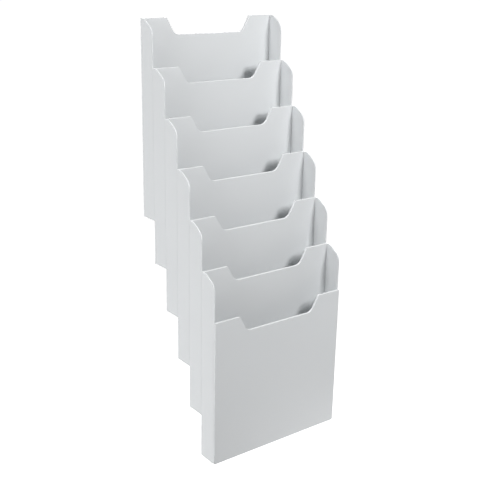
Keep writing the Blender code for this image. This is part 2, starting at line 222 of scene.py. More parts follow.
def filleted(corners):
    """Points round a closed outline whose corners are (x, y, radius)."""
    points = []
    for index, (x, y, radius) in enumerate(corners):
        corner = Vector((x, y))
        before = (Vector(corners[index - 1][:2]) - corner).normalized()
        after = (Vector(corners[(index + 1) % len(corners)][:2]) - corner).normalized()
        if radius <= 0.0:
            points.append(corner)
            continue
        half_angle = before.angle(after) / 2
        centre = corner + (before + after).normalized() * radius / math.sin(half_angle)
        start = corner + before * radius / math.tan(half_angle) - centre
        turn = start.angle_signed(corner + after * radius / math.tan(half_angle) - centre)
        steps = max(2, round(abs(turn) / ARC_STEP))
        points += [centre + Matrix.Rotation(-turn * step / steps, 2) @ start for step in range(steps + 1)]
    return points


def slab(name, outline, thickness):
    """A closed flat outline in X and Y, given a thickness, half to each side along Z."""
    form = bmesh.new()
    face = form.faces.new([form.verts.new((x, y, -thickness / 2)) for x, y in outline])
    raised = bmesh.ops.extrude_face_region(form, geom=[face], use_keep_orig=True)["geom"]
    raised = [item for item in raised if isinstance(item, bmesh.types.BMVert)]
    bmesh.ops.translate(form, vec=(0.0, 0.0, thickness), verts=raised)
    return mesh_from(name, form)


def seen_from_side(mesh):
    """Stand an outline of (depth, height) up, with its thickness along X."""
    mesh.transform(Matrix(((0, 0, 1, 0), (1, 0, 0, 0), (0, 1, 0, 0), (0, 0, 0, 1))))
    return mesh


def seen_from_front(mesh, middle=0.0):
    """Stand an outline of (across, height) up, with its thickness along Y, round the depth given."""
    mesh.transform(Matrix(((1, 0, 0, 0), (0, 0, -1, middle), (0, 1, 0, 0), (0, 0, 0, 1))))
    return mesh


def block(name, low, high):
    form = bmesh.new()
    bmesh.ops.create_cube(form, size=1.0)
    bmesh.ops.scale(form, vec=Vector(high) - Vector(low), verts=form.verts)
    bmesh.ops.translate(form, vec=(Vector(high) + Vector(low)) / 2, verts=form.verts)
    return mesh_from(name, form)


def turned(name, profile, steps=TURN_STEPS):
    """A solid turned round the Y axis from (radius, depth) points that start and end on the axis."""
    form = bmesh.new()
    rail = [form.verts.new((radius, depth, 0.0)) for radius, depth in profile]
    edges = [form.edges.new(pair) for pair in zip(rail, rail[1:])]
    bmesh.ops.spin(
        form, geom=rail + edges, axis=(0, 1, 0), cent=(0, 0, 0), angle=math.tau, steps=steps, use_merge=True
    )
    bmesh.ops.remove_doubles(form, verts=form.verts, dist=WELD)
    return mesh_from(name, form)


def pin(name, radius, low, high, x, z):
    """A round cutter along Y, from one depth to another."""
    mesh = turned(name, [(0.0, low), (radius, low), (radius, high), (0.0, high)])
    mesh.transform(Matrix.Translation((x, 0.0, z)))
    return mesh


def bore(name, radius, depth, x, z):
    """A round cutter along Y that runs through the wall or lug at the given depth."""
    return pin(name, radius, depth - OVERRUN, depth + OVERRUN, x, z)


def gathered(name, meshes):
    """Several separate solids as one mesh."""
    form = bmesh.new()
    for mesh in meshes:
        form.from_mesh(mesh)
        bpy.data.meshes.remove(mesh)
    return mesh_from(name, form)


def worked_out(piece):
    """A plain mesh of what a piece's modifiers give."""
    graph = bpy.context.evaluated_depsgraph_get()
    return bpy.data.meshes.new_from_object(piece.evaluated_get(graph))


def finish_modifiers(piece):
    """Replace a piece's modifiers by the mesh that they give."""
    mesh = worked_out(piece)
    piece.modifiers.clear()
    piece.data = mesh


def weld_doubles(piece):
    """Join doubled corners, and drop edges and faces that have no size."""
    form = bmesh.new()
    form.from_mesh(piece.data)
    bmesh.ops.remove_doubles(form, verts=form.verts, dist=WELD)
    bmesh.ops.dissolve_degenerate(form, edges=form.edges, dist=WELD)
    form.to_mesh(piece.data)
    form.free()


def taken_from(piece):
    """A piece's mesh, once the piece itself is gone."""
    mesh = piece.data
    bpy.data.objects.remove(piece, do_unlink=True)
    return mesh


def join_or_cut(piece, mesh, operation):
    tool = piece_from(mesh.name, mesh)
    change = piece.modifiers.new(mesh.name, "BOOLEAN")
    change.operation = operation
    change.object = tool
    change.solver = "EXACT"
    finish_modifiers(piece)
    weld_doubles(piece)
    bpy.data.objects.remove(tool, do_unlink=True)


def round_edges(piece):
    """Round every edge that is still sharp."""
    rounding = piece.modifiers.new("edge_rounding", "BEVEL")
    rounding.width = EDGE_ROUND
    rounding.segments = EDGE_SEGMENTS
    rounding.limit_method = "ANGLE"
    rounding.angle_limit = BEVEL_ANGLE
    finish_modifiers(piece)
    weld_doubles(piece)


def round_panel_rim(board):
    """Round the panel's front edges along its sides, its lower corners and its bottom."""
    form = bmesh.new()
    form.from_mesh(board)
    rim = {
        vert for vert in form.verts
        if abs(vert.co.y + PANEL_THICKNESS) < WELD
        and (abs(abs(vert.co.x) - HALF_WIDTH) < WELD or vert.co.z < PANEL_CORNER + WELD)
    }
    edges = [edge for edge in form.edges if rim.issuperset(edge.verts)]
    bmesh.ops.bevel(
        form, geom=edges, offset=PANEL_EDGE_ROUND, segments=PANEL_EDGE_SEGMENTS, profile=PANEL_EDGE_PROFILE,
        affect="EDGES",
    )
    form.to_mesh(board)
    form.free()


def shade_softly(piece):
    """Smooth shading whose normals follow the large flat faces."""
    piece.data.shade_smooth()
    piece.data.set_sharp_from_angle(angle=SMOOTH_ANGLE)
    weighting = piece.modifiers.new("weighting", "WEIGHTED_NORMAL")
    weighting.keep_sharp = True
    finish_modifiers(piece)


def side_outline():
    """A side wall as (depth, height), with its bevelled front corner."""
    return filleted([
        (0.0, 0.0, 0.0),
        (0.0, POCKET_HEIGHT, 0.0),
        (-BEVEL_START, POCKET_HEIGHT, BEVEL_FILLET),
        (-POCKET_DEPTH, POCKET_HEIGHT - BEVEL_DROP, BEVEL_FILLET),
        (-POCKET_DEPTH, 0.0, 0.0),
    ])


def notch_outline(top):
    """The thumb notch as (across, height), running on past the top edge."""
    widening = OVERRUN * (NOTCH_TOP_HALF - NOTCH_BOTTOM_HALF) / NOTCH_DEPTH
    return filleted([
        (-NOTCH_TOP_HALF - widening, top + OVERRUN, 0.0),
        (-NOTCH_BOTTOM_HALF, top - NOTCH_DEPTH, NOTCH_FILLET),
        (NOTCH_BOTTOM_HALF, top - NOTCH_DEPTH, NOTCH_FILLET),
        (NOTCH_TOP_HALF + widening, top + OVERRUN, 0.0),
    ])


def panel_outline():
    """The front panel as (across, height), with its notch and its rounded lower corners."""
    return filleted([
        (-HALF_WIDTH, 0.0, PANEL_CORNER),
        (HALF_WIDTH, 0.0, PANEL_CORNER),
        (HALF_WIDTH, PANEL_HEIGHT, 0.0),
        (NOTCH_TOP_HALF, PANEL_HEIGHT, NOTCH_SHOULDER),
        (NOTCH_BOTTOM_HALF, PANEL_HEIGHT - NOTCH_DEPTH, NOTCH_FILLET),
        (-NOTCH_BOTTOM_HALF, PANEL_HEIGHT - NOTCH_DEPTH, NOTCH_FILLET),
        (-NOTCH_TOP_HALF, PANEL_HEIGHT, NOTCH_SHOULDER),
        (-HALF_WIDTH, PANEL_HEIGHT, 0.0),
    ])


def lug(side, height):
    """A lug just inside the front edge of one side wall, with one end sunk in the wall."""
    outer = HALF_WIDTH - SIDE_WALL + SINK
    inner = HALF_WIDTH - SIDE_WALL - LUG_REACH
    low = height - LUG_TALL / 2
    high = height + LUG_TALL / 2
    outline = filleted([
        (side * outer, low, 0.0),
        (side * inner, low, LUG_ROUND),
        (side * inner, high, LUG_ROUND),
        (side * outer, high, 0.0),
    ])
    middle = -POCKET_DEPTH + LUG_SETBACK + LUG_THICKNESS / 2
    return seen_from_front(slab("lug", outline, LUG_THICKNESS), middle)


def keyhole(x):
    """A round hole for the screw's head below and a slot for its shank above."""
    slot_radius = SCREW_RADIUS + GAP
    head_radius = SCREW_HEAD_RADIUS + 2 * GAP
    low = KEYHOLE_HEIGHT - KEYHOLE_TRAVEL
    spread = math.asin(slot_radius / head_radius)
    sweep = math.tau - 2 * spread
    outline = []
    for step in range(TURN_STEPS // 2 + 1):
        angle = math.pi * step / (TURN_STEPS // 2)
        outline.append((x + slot_radius * math.cos(angle), KEYHOLE_HEIGHT + slot_radius * math.sin(angle)))
    for step in range(TURN_STEPS + 1):
        angle = spread + sweep * step / TURN_STEPS
        outline.append((x - head_radius * math.sin(angle), low + head_radius * math.cos(angle)))
    return seen_from_front(slab("keyhole", outline, 2 * OVERRUN))


def back_field(low_x, high_x):
    """A shallow field between two ribs on the back of the back wall."""
    outline = filleted([
        (low_x, FIELD_BOTTOM, FIELD_ROUND),
        (high_x, FIELD_BOTTOM, FIELD_ROUND),
        (high_x, FIELD_TOP, FIELD_ROUND),
        (low_x, FIELD_TOP, FIELD_ROUND),
    ])
    return seen_from_front(slab("back_field", outline, 2 * FIELD_DEPTH))


def pocket_holes():
    """Rivet holes in the lugs and the back wall, keyholes and screw holes."""
    holes = []
    for side in (-1, 1):
        for height in LUG_HEIGHTS:
            holes.append(bore("lug_hole", RIVET_RADIUS + GAP, -POCKET_DEPTH, side * RIVET_X, height))
            holes.append(bore("rivet_hole", RIVET_RADIUS + GAP, 0.0, side * RIVET_X, height + STEP_DOWN))
        holes.append(keyhole(side * SCREW_SPREAD))
        holes.append(bore("screw_hole", SCREW_RADIUS + GAP, 0.0, side * SCREW_SPREAD, LOWER_HOLE_HEIGHT))
    return gathered("pocket_holes", holes)


def back_fields():
    """The four fields on the back, between the middle rib, the screws' ribs and the outer edges."""
    fields = []
    for side in (-1, 1):
        inner = (side * CENTRE_RIB_HALF, side * (SCREW_SPREAD - SCREW_RIB_HALF))
        outer = (side * (SCREW_SPREAD + SCREW_RIB_HALF), side * (HALF_WIDTH - EDGE_RIB))
        fields += [back_field(min(pair), max(pair)) for pair in (inner, outer)]
    return gathered("back_fields", fields)


def ejector_marks():
    """Round marks in the fields where the mould's pins push the pocket out."""
    floor = -FIELD_DEPTH - EJECTOR_DEPTH
    middles = (
        (CENTRE_RIB_HALF + SCREW_SPREAD - SCREW_RIB_HALF) / 2,
        (SCREW_SPREAD + SCREW_RIB_HALF + HALF_WIDTH - EDGE_RIB) / 2,
    )
    return gathered("ejector_marks", [
        pin("ejector_mark", EJECTOR_RADIUS, floor, OVERRUN, side * middle, height)
        for side in (-1, 1) for middle in middles for height in EJECTOR_HEIGHTS
    ])


def gate_mark():
    """A shallow ring under the floor, round the stub that the mould's gate leaves."""
    ring = turned("gate_mark", [
        (0.0, -OVERRUN),
        (GATE_RADIUS, -OVERRUN),
        (GATE_RADIUS, GATE_DEPTH),
        (GATE_STUB_RADIUS, GATE_DEPTH),
        (GATE_STUB_RADIUS, GATE_STUB_SETBACK),
        (0.0, GATE_STUB_SETBACK),
    ])
    ring.transform(Matrix(((1, 0, 0, 0), (0, 0, 1, -POCKET_DEPTH / 2), (0, 1, 0, 0), (0, 0, 0, 1))))
    return ring


def pocket_moulding():
    """One pocket about the middle of its bottom back edge."""
    pocket = piece_from("pocket_moulding", seen_from_side(slab("pocket_block", side_outline(), WIDTH)))
    inside_low = (-HALF_WIDTH + SIDE_WALL, -POCKET_DEPTH - OVERRUN, FLOOR)
    inside_high = (HALF_WIDTH - SIDE_WALL, -BACK_WALL, POCKET_HEIGHT + OVERRUN)
    join_or_cut(pocket, block("inside", inside_low, inside_high), "DIFFERENCE")
    notch = seen_from_front(slab("notch", notch_outline(POCKET_HEIGHT), 2 * OVERRUN))
    join_or_cut(pocket, notch, "DIFFERENCE")
    round_edges(pocket)
    lugs = [lug(side, height) for side in (-1, 1) for height in LUG_HEIGHTS]
    join_or_cut(pocket, gathered("lugs", lugs), "UNION")
    join_or_cut(pocket, pocket_holes(), "DIFFERENCE")
    join_or_cut(pocket, back_fields(), "DIFFERENCE")
    join_or_cut(pocket, ejector_marks(), "DIFFERENCE")
    join_or_cut(pocket, gate_mark(), "DIFFERENCE")
    shade_softly(pocket)
    return taken_from(pocket)


def snap_end(start):
    """The barbed end of a rivet or stud as (radius, depth), from where its grip ends."""
    return [
        (RIVET_RADIUS, start),
        (BARB_RADIUS - GAP / 2, start),
        (BARB_RADIUS, start + GAP / 2),
        (BARB_RADIUS, start + GAP),
        (BARB_TIP_RADIUS + GAP, start + BARB_LENGTH - GAP / 2),
        (BARB_TIP_RADIUS, start + BARB_LENGTH),
        (0.0, start + BARB_LENGTH),
    ]


def snap_slit(end):
    """A cutter for the slit that splits a barbed end."""
    low = (-SLIT_WIDTH / 2, end - SLIT_LENGTH, -OVERRUN)
    high = (SLIT_WIDTH / 2, end + OVERRUN, OVERRUN)
    return block("snap_slit", low, high)


def front_panel_moulding():
    """The front panel about the middle of its bottom back edge, with its snap studs."""
    board = seen_from_front(slab("panel_board", panel_outline(), PANEL_THICKNESS), -PANEL_THICKNESS / 2)
    round_panel_rim(board)
    panel = piece_from("front_panel_moulding", board)
    round_edges(panel)
    studs = []
    slits = []
    for side in (-1, 1):
        for height in LUG_HEIGHTS:
            place = Matrix.Translation((side * RIVET_X, 0.0, height))
            stud = turned("stud", [(0.0, -SINK), (RIVET_RADIUS, -SINK)] + snap_end(LUG_GRIP))
            stud.transform(place)
            studs.append(stud)
            slit = snap_slit(LUG_GRIP + BARB_LENGTH)
            slit.transform(place)
            slits.append(slit)
    join_or_cut(panel, gathered("studs", studs), "UNION")
    join_or_cut(panel, gathered("stud_slits", slits), "DIFFERENCE")
    shade_softly(panel)
    return taken_from(panel)


def quarter_turn(steps):
    """The angles of a quarter turn, from 0 to a right angle."""
    return [math.pi / 2 * step / steps for step in range(steps + 1)]


def snap_rivet():
    """A rivet with its head's back face at depth 0 and its shank towards the wall."""
    grip = GAP + BACK_WALL + LUG_GRIP
    flat_radius = RIVET_HEAD_RADIUS - EDGE_ROUND
    round_depth = EDGE_ROUND - RIVET_HEAD_HEIGHT
    rim = [
        (flat_radius + EDGE_ROUND * math.sin(angle), round_depth - EDGE_ROUND * math.cos(angle))
        for angle in quarter_turn(HEAD_STEPS)
    ]
    head = [(0.0, -RIVET_HEAD_HEIGHT)] + rim + [(RIVET_HEAD_RADIUS, 0.0), (RIVET_RADIUS, 0.0)]
    rivet = piece_from("snap_rivet", turned("snap_rivet", head + snap_end(grip)))
    join_or_cut(rivet, snap_slit(grip + BARB_LENGTH), "DIFFERENCE")
    shade_softly(rivet)
    return rivet


def wall_screw():
    """A pan-head screw with its head's back face at depth 0, without its thread."""
    crown = [
        (SCREW_HEAD_RADIUS * math.sin(angle), SCREW_CROWN_HEIGHT * (1 - math.cos(angle)) - SCREW_HEAD_HEIGHT)
        for angle in quarter_turn(CROWN_STEPS)
    ]
    screw = piece_from("wall_screw", turned("wall_screw", crown + [
        (SCREW_HEAD_RADIUS, -SCREW_RIM),
        (SCREW_HEAD_RADIUS - SCREW_RIM, 0.0),
        (SCREW_RADIUS, 0.0),
        (SCREW_RADIUS, SCREW_PLAIN),
        (THREAD_CORE, SCREW_NECK),
        (THREAD_CORE, SCREW_LENGTH - SCREW_POINT),
        (0.0, SCREW_LENGTH),
    ]))
    for across, tall in ((DRIVE_SPAN, DRIVE_WIDTH), (DRIVE_WIDTH, DRIVE_SPAN)):
        low = (-across / 2, -SCREW_HEAD_HEIGHT - OVERRUN, -tall / 2)
        high = (across / 2, -SCREW_HEAD_HEIGHT + DRIVE_DEPTH, tall / 2)
        join_or_cut(screw, block("drive_recess", low, high), "DIFFERENCE")
    shade_softly(screw)
    return screw


def add_node(tree, kind, links=None, **settings):
    """A node with its settings, and its inputs given as values or as sockets to link from."""
    made = tree.nodes.new(kind)
    for name, value in settings.items():
        setattr(made, name, value)
    for name, value in (links or {}).items():
        if isinstance(value, bpy.types.NodeSocket):
            tree.links.new(value, made.inputs[name])
        else:
            made.inputs[name].default_value = value
    return made


def new_group(name, kind, inputs, outputs):
    """A node group with named sockets. Inputs are (name, type, value) and outputs are (name, type)."""
    group = bpy.data.node_groups.new(name, kind)
    for socket_name, socket_type, value in inputs:
        socket = group.interface.new_socket(socket_name, in_out="INPUT", socket_type=socket_type)
        if value is not None:
            socket.default_value = value
    for socket_name, socket_type in outputs:
        group.interface.new_socket(socket_name, in_out="OUTPUT", socket_type=socket_type)
    return group, group.nodes.new("NodeGroupInput"), group.nodes.new("NodeGroupOutput")


def grid_of_places(tree, given):
    """Points at every joint or height, to the left and the right and at two heights."""
    steps = add_node(tree, "GeometryNodeMeshLine", {
        "Count": given.outputs["Count"],
        "Start Location": given.outputs["First Place"],
        "Offset": given.outputs["Step"],
    })
    pair = add_node(tree, "GeometryNodeMeshLine", {
        "Count": 2,
        "Start Location": (0.0, 0.0, 0.0),
        "Offset": given.outputs["Across"],
    })
    tall = add_node(tree, "GeometryNodeMeshLine", {
        "Count": 2,
        "Start Location": (0.0, 0.0, 0.0),
        "Offset": given.outputs["Up"],
    })
    points = steps.outputs["Mesh"]
    for line in (pair, tall):
        placed = add_node(tree, "GeometryNodeInstanceOnPoints", {
            "Points": points,
            "Instance": line.outputs["Mesh"],
        })
        real = add_node(tree, "GeometryNodeRealizeInstances", {"Geometry": placed.outputs["Instances"]})
        points = real.outputs["Geometry"]
    return points


NOWHERE = (0.0, 0.0, 0.0)
PLACE_INPUTS = [
    ("Geometry", "NodeSocketGeometry", None),
    ("Count", "NodeSocketInt", 1),
    ("First Place", "NodeSocketVector", NOWHERE),
    ("Step", "NodeSocketVector", NOWHERE),
    ("Across", "NodeSocketVector", NOWHERE),
    ("Up", "NodeSocketVector", NOWHERE),
    ("Largest Turn", "NodeSocketFloat", 0.0),
    ("Seed", "NodeSocketInt", 0),
    ("Finish", "NodeSocketMaterial", None),
]


def set_out_fasteners(tree, given, out, fastener):
    """Put the fastener at every place, each turned a little on its own axis, as a fitter leaves them."""
    least = add_node(tree, "ShaderNodeMath", {
        0: given.outputs["Largest Turn"], 1: -1.0,
    }, operation="MULTIPLY")
    spin = add_node(tree, "FunctionNodeRandomValue", {
        "Min": least.outputs["Value"],
        "Max": given.outputs["Largest Turn"],
        "Seed": given.outputs["Seed"],
    }, data_type="FLOAT")
    turn = add_node(tree, "ShaderNodeCombineXYZ", {"Y": spin.outputs["Value"]})
    placed = add_node(tree, "GeometryNodeInstanceOnPoints", {
        "Points": grid_of_places(tree, given),
        "Instance": fastener,
        "Rotation": turn.outputs["Vector"],
    })
    real = add_node(tree, "GeometryNodeRealizeInstances", {"Geometry": placed.outputs["Instances"]})
    finished = add_node(tree, "GeometryNodeSetMaterial", {
        "Geometry": real.outputs["Geometry"],
        "Material": given.outputs["Finish"],
    })
    tree.links.new(finished.outputs["Geometry"], out.inputs["Geometry"])


def rivet_tree():
    """The snap rivets of every joint between two pockets."""
    tree, given, out = new_group(
        "snap_rivets_at_each_joint", "GeometryNodeTree", PLACE_INPUTS, [("Geometry", "NodeSocketGeometry")]
    )
    set_out_fasteners(tree, given, out, given.outputs["Geometry"])
    return tree


def thread_run(tree, turns, start_radius, end_radius, height, ridge, lift):
    """A ridge wound round the Y axis, from the depth given by lift."""
    spiral = add_node(tree, "GeometryNodeCurveSpiral", {
        "Resolution": THREAD_STEPS,
        "Rotations": turns,
        "Start Radius": start_radius,
        "End Radius": end_radius,
        "Height": height,
    })
    ring = add_node(tree, "GeometryNodeCurvePrimitiveCircle", {"Resolution": THREAD_SIDES, "Radius": ridge})
    wound = add_node(tree, "GeometryNodeCurveToMesh", {
        "Curve": spiral.outputs["Curve"],
        "Profile Curve": ring.outputs["Curve"],
        "Fill Caps": True,
    })
    move = add_node(tree, "ShaderNodeCombineXYZ", {"Y": lift})
    laid = add_node(tree, "GeometryNodeTransform", {
        "Geometry": wound.outputs["Mesh"],
        "Translation": move.outputs["Vector"],
        "Rotation": (-math.pi / 2, 0.0, 0.0),
    })
    return laid.outputs["Geometry"]


def screw_tree():
    """The wall screws, each with a thread on its shank and a tapering one on its point."""
    sizes = PLACE_INPUTS + [
        ("Thread Start", "NodeSocketFloat", THREAD_START),
        ("Thread Length", "NodeSocketFloat", SCREW_LENGTH - SCREW_POINT - THREAD_START),
        ("Point Length", "NodeSocketFloat", THREAD_ON_POINT),
        ("Pitch", "NodeSocketFloat", THREAD_PITCH),
        ("Core Radius", "NodeSocketFloat", THREAD_CORE),
        ("Ridge", "NodeSocketFloat", SCREW_RADIUS - THREAD_CORE),
    ]
    tree, given, out = new_group(
        "wall_screws_with_thread", "GeometryNodeTree", sizes, [("Geometry", "NodeSocketGeometry")]
    )
    start = given.outputs["Thread Start"]
    length = given.outputs["Thread Length"]
    point_length = given.outputs["Point Length"]
    pitch = given.outputs["Pitch"]
    core = given.outputs["Core Radius"]
    ridge = given.outputs["Ridge"]
    turns = add_node(tree, "ShaderNodeMath", {0: length, 1: pitch}, operation="DIVIDE").outputs["Value"]
    body = thread_run(tree, turns, core, core, length, ridge, start)
    turns = add_node(tree, "ShaderNodeMath", {0: point_length, 1: pitch}, operation="DIVIDE").outputs["Value"]
    end = add_node(tree, "ShaderNodeMath", {0: start, 1: length}, operation="ADD").outputs["Value"]
    point = thread_run(tree, turns, core, THREAD_TIP_RADIUS, point_length, ridge, end)
    whole = add_node(tree, "GeometryNodeJoinGeometry")
    for part in (given.outputs["Geometry"], body, point):
        tree.links.new(part, whole.inputs["Geometry"])
    set_out_fasteners(tree, given, out, whole.outputs["Geometry"])
    return tree


def set_out(single, name, tree, values):
    """Run a tree on a single fastener and keep the result as one plain mesh."""
    change = single.modifiers.new(tree.name, "NODES")
    change.node_group = tree
    for item in tree.interface.items_tree:
        if item.item_type == "SOCKET" and item.in_out == "INPUT" and item.name in values:
            change[item.identifier] = values[item.name]
    mesh = worked_out(single)
    mesh.name = name
    bpy.data.objects.remove(single, do_unlink=True)
    return piece_from(name, mesh)


def edge_wear_group():
    """Where corners and edges are rubbed, and a normal that rounds them off."""
    tree, given, out = new_group("rubbed_edges", "ShaderNodeTree", [
        ("Coordinates", "NodeSocketVector", None),
        ("Radius", "NodeSocketFloat", 0.001),
        ("Breakup Scale", "NodeSocketFloat", 60.0),
        ("Amount", "NodeSocketFloat", 1.0),
    ], [("Mask", "NodeSocketFloat"), ("Normal", "NodeSocketVector")])
    rounded = add_node(tree, "ShaderNodeBevel", {"Radius": given.outputs["Radius"]}, samples=6)
    surface = add_node(tree, "ShaderNodeNewGeometry")
    along = add_node(tree, "ShaderNodeVectorMath", {
        0: rounded.outputs["Normal"], 1: surface.outputs["Normal"],
    }, operation="DOT_PRODUCT")
    bend = add_node(tree, "ShaderNodeMapRange", {
        "Value": along.outputs["Value"], "From Min": 0.995, "From Max": 0.80, "To Min": 0.0, "To Max": 1.0,
    })
    patches = add_node(tree, "ShaderNodeTexNoise", {
        "Vector": given.outputs["Coordinates"], "Scale": given.outputs["Breakup Scale"], "Detail": 4.0,
    })
    broken = add_node(tree, "ShaderNodeMapRange", {
        "Value": patches.outputs["Fac"], "From Min": 0.35, "From Max": 0.65, "To Min": 0.25, "To Max": 1.0,
    })
    rubbed = add_node(tree, "ShaderNodeMath", {
        0: bend.outputs["Result"], 1: broken.outputs["Result"],
    }, operation="MULTIPLY")
    scaled = add_node(tree, "ShaderNodeMath", {
        0: rubbed.outputs["Value"], 1: given.outputs["Amount"],
    }, operation="MULTIPLY")
    tree.links.new(scaled.outputs["Value"], out.inputs["Mask"])
    tree.links.new(rounded.outputs["Normal"], out.inputs["Normal"])
    return tree


def mould_grain_group():
    """The fine satin grain that the mould leaves, and the slow drift of its tone."""
    tree, given, out = new_group("mould_grain", "ShaderNodeTree", [
        ("Coordinates", "NodeSocketVector", None),
        ("Grain Scale", "NodeSocketFloat", 2400.0),
        ("Drift Scale", "NodeSocketFloat", 9.0),
    ], [("Height", "NodeSocketFloat"), ("Drift", "NodeSocketFloat")])
    fine = add_node(tree, "ShaderNodeTexNoise", {
        "Vector": given.outputs["Coordinates"], "Scale": given.outputs["Grain Scale"], "Detail": 2.0,
        "Roughness": 0.6,
    })
    coarser_scale = add_node(tree, "ShaderNodeMath", {
        0: given.outputs["Grain Scale"], 1: COARSER_GRAIN,
    }, operation="MULTIPLY")
    coarser = add_node(tree, "ShaderNodeTexNoise", {
        "Vector": given.outputs["Coordinates"], "Scale": coarser_scale.outputs["Value"], "Detail": 1.0,
    })
    height = add_node(tree, "ShaderNodeMath", {
        0: coarser.outputs["Fac"], 1: COARSER_GRAIN_WEIGHT, 2: fine.outputs["Fac"],
    }, operation="MULTIPLY_ADD")
    drift = add_node(tree, "ShaderNodeTexNoise", {
        "Vector": given.outputs["Coordinates"], "Scale": given.outputs["Drift Scale"], "Detail": 3.0,
        "Roughness": 0.45,
    })
    tree.links.new(height.outputs["Value"], out.inputs["Height"])
    tree.links.new(drift.outputs["Fac"], out.inputs["Drift"])
    return tree


def scuffs_group():
    """A few long faint scuffs from paper edges, up and down the walls."""
    tree, given, out = new_group("paper_scuffs", "ShaderNodeTree", [
        ("Coordinates", "NodeSocketVector", None),
        ("Scale", "NodeSocketFloat", 55.0),
        ("Share", "NodeSocketFloat", 0.1),
    ], [("Mask", "NodeSocketFloat")])
    stretched = add_node(tree, "ShaderNodeMapping", {
        "Vector": given.outputs["Coordinates"], "Rotation": (0.0, 0.09, 0.0), "Scale": (1.0, 1.0, 0.05),
    })
    streaks = add_node(tree, "ShaderNodeTexNoise", {
        "Vector": stretched.outputs["Vector"], "Scale": given.outputs["Scale"], "Detail": 5.0,
        "Roughness": 0.7,
    })
    start = add_node(tree, "ShaderNodeMath", {
        0: SCUFF_START, 1: given.outputs["Share"],
    }, operation="SUBTRACT")
    mask = add_node(tree, "ShaderNodeMapRange", {
        "Value": streaks.outputs["Fac"], "From Min": start.outputs["Value"], "From Max": 0.85,
        "To Min": 0.0, "To Max": 1.0,
    })
    tree.links.new(mask.outputs["Result"], out.inputs["Mask"])
    return tree


def settled_dust_group():
    """Dust on what faces up."""
    tree, given, out = new_group("settled_dust", "ShaderNodeTree", [
        ("Coordinates", "NodeSocketVector", None),
        ("Scale", "NodeSocketFloat", 150.0),
        ("Amount", "NodeSocketFloat", 0.2),
    ], [("Mask", "NodeSocketFloat")])
    surface = add_node(tree, "ShaderNodeNewGeometry")
    facing = add_node(tree, "ShaderNodeSeparateXYZ", {"Vector": surface.outputs["Normal"]})
    upward = add_node(tree, "ShaderNodeMapRange", {
        "Value": facing.outputs["Z"], "From Min": 0.55, "From Max": 0.98, "To Min": 0.0, "To Max": 1.0,
    })
    specks = add_node(tree, "ShaderNodeTexNoise", {
        "Vector": given.outputs["Coordinates"], "Scale": given.outputs["Scale"], "Detail": 4.0,
    })
    thinned = add_node(tree, "ShaderNodeMath", {
        0: upward.outputs["Result"], 1: specks.outputs["Fac"],
    }, operation="MULTIPLY")
    scaled = add_node(tree, "ShaderNodeMath", {
        0: thinned.outputs["Value"], 1: given.outputs["Amount"],
    }, operation="MULTIPLY")
    tree.links.new(scaled.outputs["Value"], out.inputs["Mask"])
    return tree


def blended(tree, factor, first, second):
    """The colour between two, by a factor. The numbers are the places of a Mix node's colour sockets."""
    return add_node(tree, "ShaderNodeMix", {0: factor, 6: first, 7: second}, data_type="RGBA").outputs[2]


def use_group(tree, group, links):
    return add_node(tree, "ShaderNodeGroup", links, node_tree=group)


def moulded_plastic(name, groups, pale, deep, rubbed, roughness, grain, wear):
    """Satin moulded plastic: grain, slow drift of tone, rubbed edges, scuffs and a little dust.

    Roughness is (least, most), grain is (scale, strength) and wear is (radius, amount).
    """
    grain_scale, grain_strength = grain
    wear_radius, wear_amount = wear
    material = bpy.data.materials.new(name)
    material.use_nodes = True
    tree = material.node_tree
    shader = tree.nodes["Principled BSDF"]
    place = add_node(tree, "ShaderNodeTexCoord").outputs["Object"]
    moulded = use_group(tree, groups["grain"], {
        "Coordinates": place, "Grain Scale": grain_scale, "Drift Scale": 9.0,
    })
    edges = use_group(tree, groups["wear"], {
        "Coordinates": place, "Radius": wear_radius, "Breakup Scale": 60.0, "Amount": wear_amount,
    })
    scuffs = use_group(tree, groups["scuffs"], {"Coordinates": place, "Scale": 55.0, "Share": 0.10})
    dust = use_group(tree, groups["dust"], {"Coordinates": place, "Scale": 150.0, "Amount": 0.25})
    colour = blended(tree, moulded.outputs["Drift"], deep, pale)
    colour = blended(tree, edges.outputs["Mask"], colour, rubbed)
    colour = blended(tree, dust.outputs["Mask"], colour, DUST)
    tree.links.new(colour, shader.inputs["Base Color"])
    polish = add_node(tree, "ShaderNodeMapRange", {
        "Value": moulded.outputs["Drift"], "From Min": 0.3, "From Max": 0.7,
        "To Min": roughness[0], "To Max": roughness[1],
    })
    scuffed = add_node(tree, "ShaderNodeMath", {
        0: scuffs.outputs["Mask"], 1: SCUFF_POLISH, 2: polish.outputs["Result"],
    }, operation="MULTIPLY_ADD")
    dulled = add_node(tree, "ShaderNodeMath", {
        0: dust.outputs["Mask"], 1: DUST_DULLING, 2: scuffed.outputs["Value"],
    }, operation="MULTIPLY_ADD")
    tree.links.new(dulled.outputs["Value"], shader.inputs["Roughness"])
    bump = add_node(tree, "ShaderNodeBump", {
        "Strength": grain_strength, "Distance": 0.00006, "Height": moulded.outputs["Height"],
        "Normal": edges.outputs["Normal"],
    })
    tree.links.new(bump.outputs["Normal"], shader.inputs["Normal"])
    shader.inputs["IOR"].default_value = PLASTIC_IOR
    return material


